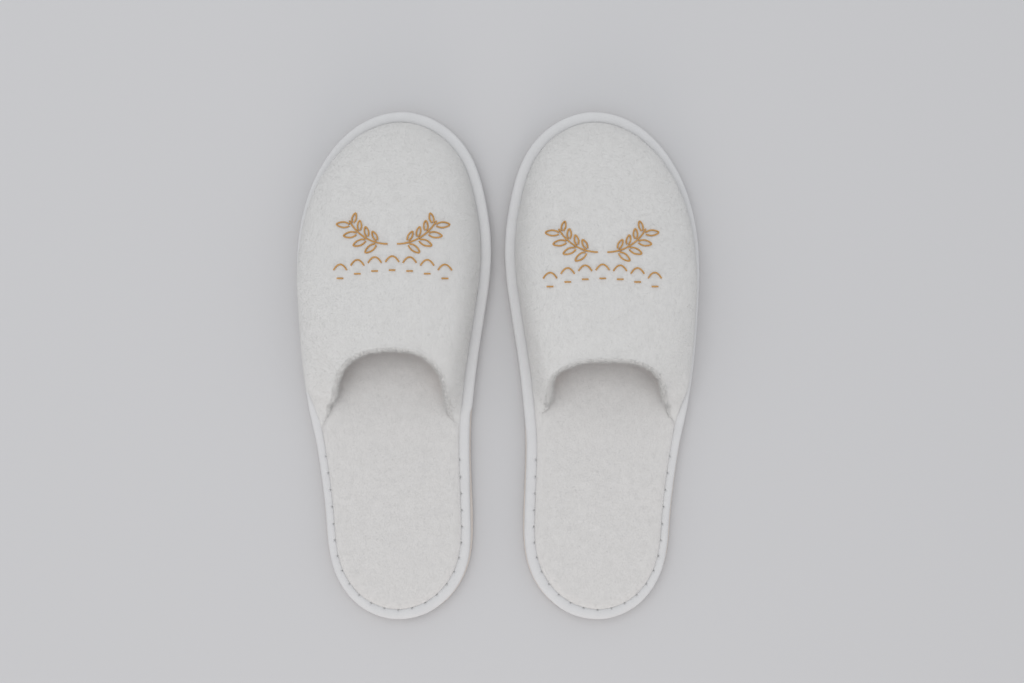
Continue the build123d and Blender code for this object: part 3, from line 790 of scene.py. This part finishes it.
def stitches(side):
    """The thread between the needle holes, sunk at both ends."""
    k = np.linspace(0, 1, THREAD_RINGS)
    radius = THREAD_RADIUS * np.sin(np.pi * k).clip(0) ** THREAD_TAPER
    radius[[0, -1]] = THREAD_END_RADIUS
    z = BINDING_TOP - THREAD_SUNK + THREAD_ARCH * np.sin(np.pi * k) ** THREAD_BOW
    rings = []
    for first in stitch_shares():
        u = first + k * STITCH_PITCH / RIM_LENGTH
        _, inner = binding_edges(side, u % 1)
        xy, _ = rim(u, inner - HOLES_FROM_INNER)
        rings.append(tube(np.concatenate([xy, z[:, None]], 1), radius, THREAD_SIDES))
    each = THREAD_RINGS * THREAD_SIDES
    faces = [grid_faces(THREAD_RINGS, THREAD_SIDES, False, True, i * each) for i in range(len(rings))]
    points = np.array(rings).reshape(-1, 3)
    obj = mesh_object(f"{side}_binding_stitches", points, np.concatenate(faces), side, THREAD)
    bend(obj, side, "white_thread", "binding_stitches")


# ------------------------------------------------------------------ upper pieces
def upper_ribs(up):
    """The ribs that the upper's pieces are drawn on, with their lengths and the padded cloth's thickness."""
    q = np.linspace(0, 1, RIBS)
    s = q - RIB_CROWDING * np.sin(2 * np.pi * q) / (2 * np.pi)
    length = up.lengths(s, np.zeros(RIBS))
    return s, length, TIP_THICK + (THICK - TIP_THICK) * ease((length - THICK_FROM) / THICK_OVER)


def outside(up, s, t_end, length):
    """The face cloth's outside: soft unevenness, gathers over the binding and the mottle of the pile."""
    ribs = np.repeat(s[:, None], OUTSIDE_COLS, 1)
    t = t_end[:, None] * np.linspace(0, 1, OUTSIDE_COLS)[None]
    place = up.point(ribs, t)
    lift = relief(place, PADDED_RELIEF) * ease(t / PUFF_OVER)
    lift += relief(place * [1, 1, GATHER_STRETCH], GATHER_RELIEF) * bell((t - GATHER_AT) / GATHER_REACH)
    lift += relief(place, VELOUR_RELIEF)
    lift *= ease(length / FLAT_LENGTH)[:, None]
    return place + up.normal(ribs, t) * lift[..., None]


def hem(up, s, t_end, length, thick):
    """The hem rolled round the throat edge, with tufts where it is widest."""
    end, normal = up.point(s, t_end), up.normal(s, t_end)
    forward = end - up.point(s, t_end - HEM_AHEAD)
    forward -= normal * (forward * normal).sum(1, keepdims=True)
    forward /= np.linalg.norm(forward, axis=1, keepdims=True)
    radius = (thick / 2)[:, None]
    middle = end - normal * radius
    wave = radius * (1 + relief(end, HEM_WAVE))[:, None]
    tuft = (relief(end, TUFT_RELIEF) * ease((length - TUFT_FROM) / TUFT_OVER))[:, None]
    roll = []
    for a in np.linspace(0, np.pi, HEM_COLS + 2)[1:-1]:
        turned = normal * math.cos(a) + forward * math.sin(a)
        roll.append(middle + turned * wave + forward * tuft * math.sin(a) ** 3)
    return np.stack(roll, 1)


def inside(up, s, t_end, thick):
    """The padded cloth's inside, from the hem down to the foot."""
    ribs = np.repeat(s[:, None], INSIDE_COLS, 1)
    t = t_end[:, None] + (INSIDE_FOOT - t_end[:, None]) * np.linspace(0, 1, INSIDE_COLS)[None]
    place = up.point(ribs, t)
    from_edge = np.linalg.norm(place - place[:, :1], axis=-1)
    room = (LINING + LINING_ROOM) * ease((from_edge - ROOM_FROM) / ROOM_OVER) * (thick[:, None] > ROOM_THICK)
    depth = thick[:, None] - room + relief(place, INSIDE_RELIEF)
    return place - up.normal(ribs, t) * depth[..., None]


def motif_places(side):
    """Some of the embroidery's points, in the slipper's own frame."""
    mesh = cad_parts[f"{side}_upper_embroidery"].data
    co = np.zeros(len(mesh.vertices) * 3)
    mesh.vertices.foreach_get("co", co)
    return swap_frame(co.reshape(-1, 3)[::MOTIF_STEP], side, to_world=False)


def off_motif(places, side):
    """From 0 on the embroidery to 1 clear of it, so that no pile grows through the gold thread."""
    motif = motif_places(side)
    mask = np.ones(len(places))
    for i in range(0, len(places), CHUNK):
        square = ((places[i:i + CHUNK, None, :2] - motif[None, :, :2]) ** 2).sum(-1)
        mask[i:i + CHUNK] = ease((np.sqrt(square).min(1) - MOTIF_CLEAR) / MOTIF_FADE)
    return mask


def face_cloth(side, up, s, length, thick):
    """The face cloth with its rolled hem, as one closed form round the padding, and its pile and fringe."""
    speed = up.lengths(s, np.full(RIBS, 1 - HEM_STEP)) / HEM_STEP
    t_end = 1 - np.minimum(HEM_REACH, thick / 2 / speed)
    outer = outside(up, s, t_end, length)
    roll = hem(up, s, t_end, length, thick)
    inner = inside(up, s, t_end, thick)
    loop = np.concatenate([outer, roll, inner], 1)
    cols = loop.shape[1]
    faces = grid_faces(RIBS, cols, wrap_cols=True)
    obj = mesh_object(f"{side}_face_cloth", loop.reshape(-1, 3), faces, side, VELOUR)
    close_and_weld(obj, fan_ends(RIBS, cols))
    carry(obj, side, "terry_face", "upper_face")
    # the pile covers the outside, the hem and the hem's inner turn
    shown = np.concatenate([outer, roll, inner[:, :TURN_COLS]], 1)
    faces = grid_faces(RIBS, shown.shape[1])
    points = shown.reshape(-1, 3)
    mask = off_motif(points[faces].mean(1), side)
    for patch in pile("upper_pile", points, faces, side, VELOUR_PILE, mask=mask, **UPPER_PILE):
        carry(patch, side, "terry_face")
    # the cut pile along the throat edge stands out a little further
    place, normal = scatter(roll.reshape(-1, 3), grid_faces(RIBS, HEM_COLS), FRINGE_FIBRES, FRINGE_SEED)
    fringe = fibres(f"{side}_throat_fringe", place, normal, side=side, material=VELOUR_PILE, **FRINGE_PILE)
    carry(fringe, side, "terry_face")


def lining(side, up, s, thick):
    """The lining under the padding, from near the sole to just short of the hem."""
    full = thick > THICK - THIN
    s, thick = s[full], thick[full][:, None]
    fine = np.linspace(0, 1, LINING_STEPS)
    ends = []
    for rib in s:
        from_throat = up.lengths(np.full(len(fine), rib), fine)
        ends.append(fine[np.where(from_throat > LINING_FROM_THROAT)[0][-1]])
    t = LINING_FOOT + (np.array(ends)[:, None] - LINING_FOOT) * np.linspace(0, 1, LINING_COLS)[None]
    ribs = np.repeat(s[:, None], LINING_COLS, 1)
    place, out = up.point(ribs, t), up.normal(ribs, t)
    front = place - out * (thick - LINING)[..., None]
    back = place - out * (thick + LINING_ROOM + relief(place, LINING_RELIEF))[..., None]
    carry(sheet("lining", front, back, side, LINING_CLOTH_PAINTED_SHADE), side, "lining_cloth", "upper_lining")


def padding(side, up):
    """The wadding between face cloth and lining."""
    s, t = np.meshgrid(np.linspace(*PADDING_RIBS), np.linspace(*PADDING_COLS), indexing="ij")
    place, out = up.point(s, t), up.normal(s, t)
    swell = relief(place, PADDING_RELIEF)
    front = place - out * (PADDING_FRONT + swell)[..., None]
    back = place - out * (PADDING_BACK - swell)[..., None]
    carry(sheet("padding", front, back, side, FOAM), side, "foam", "upper_padding")


def search_tree(mesh):
    return BVHTree.FromPolygons([v.co for v in mesh.vertices], [p.vertices for p in mesh.polygons])


def embroidery(side):
    """The gold cords, laid down onto the soft face cloth."""
    trees = [search_tree(mesh) for mesh in (bpy.data.objects[f"{side}_face_cloth"].data,
                                            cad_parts[f"{side}_upper_face"].data)]
    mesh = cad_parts[f"{side}_upper_embroidery"].data.copy()
    above, down = 0.2, Vector((0, 0, -1))
    for v in mesh.vertices:
        soft, cad = [tree.ray_cast(Vector((v.co.x, v.co.y, above)), down)[0] for tree in trees]
        if soft and cad:
            v.co.z += soft.z - cad.z
    obj = bpy.data.objects.new(f"{side}_embroidery", mesh)
    bpy.context.collection.objects.link(obj)
    mesh.materials.clear()
    mesh.materials.append(GOLD)
    carry(obj, side, "gold_thread", "upper_embroidery")


for SIDE in ("left", "right"):
    outsole(SIDE)
    core(SIDE)
    footbed(SIDE)
    binding(SIDE)
    stitches(SIDE)
    UPPER = Upper(SIDE)
    RIB_SHARES, RIB_LENGTHS, THICKNESS = upper_ribs(UPPER)
    face_cloth(SIDE, UPPER, RIB_SHARES, RIB_LENGTHS, THICKNESS)
    lining(SIDE, UPPER, RIB_SHARES, THICKNESS)
    padding(SIDE, UPPER)
    embroidery(SIDE)

# ------------------------------------------------------------------ floor, light and camera, in metres
FLOOR_SIZE, FLOOR_DROP = 6.0, 0.0002  # it lies a hair lower than the outsoles
FLOOR_COLOUR = (0.545, 0.547, 0.56)
SKY_COLOUR = (0.97, 0.98, 1.0)
SKY_AT_HORIZON, SKY_OVERHEAD = 0.95, 0.675
CAMERA_PLACE = (0.008, 0.0143, 0.820)  # it looks straight down
CAMERA_LENS = 50.0
CAMERA_SENSOR = 36.0

bpy.ops.mesh.primitive_plane_add(size=FLOOR_SIZE, location=(0, 0, -FLOOR_DROP))
floor = bpy.context.object
floor.name = "floor"
floor_material, _, _, floor_shader = new_material("floor")
set_inputs(floor_shader, Base_Color=(*FLOOR_COLOUR, 1), Roughness=0.9)
floor.data.materials.append(floor_material)

world = bpy.data.worlds.new("studio")
bpy.context.scene.world = world
world.use_nodes = True
sky_nodes, sky_links = world.node_tree.nodes, world.node_tree.links
sky = sky_nodes["Background"]
sky.inputs["Color"].default_value = (*SKY_COLOUR, 1)
direction = sky_nodes.new("ShaderNodeTexCoord")
split = sky_nodes.new("ShaderNodeSeparateXYZ")
dimmer = new_node(sky_nodes, "ShaderNodeMapRange", From_Min=0.0, From_Max=1.0,
                  To_Min=SKY_AT_HORIZON, To_Max=SKY_OVERHEAD)
sky_links.new(direction.outputs["Generated"], split.inputs["Vector"])
sky_links.new(split.outputs["Z"], dimmer.inputs["Value"])
sky_links.new(dimmer.outputs["Result"], sky.inputs["Strength"])


def area_light(name, place, target, size, watts, colour):
    data = bpy.data.lights.new(name, "AREA")
    data.shape = "DISK"
    data.size = size
    data.energy = watts
    data.color = colour
    obj = bpy.data.objects.new(name, data)
    bpy.context.collection.objects.link(obj)
    obj.location = place
    obj.rotation_euler = (Vector(target) - Vector(place)).to_track_quat("-Z", "Y").to_euler()


area_light("key", place=(-0.25, 0.35, 1.5), target=(0, 0, 0), size=1.4, watts=7.0, colour=(1.0, 0.99, 0.97))
area_light("fill", place=(0, -1.35, 0.42), target=(0, 0, 0.02), size=0.7, watts=4.2, colour=(1.0, 0.88, 0.80))

camera_data = bpy.data.cameras.new("camera")
camera_data.lens = CAMERA_LENS
camera_data.sensor_width = CAMERA_SENSOR
camera = bpy.data.objects.new("camera", camera_data)
bpy.context.collection.objects.link(camera)
camera.location = CAMERA_PLACE
bpy.context.scene.camera = camera
bpy.context.scene.view_settings.view_transform = "Standard"
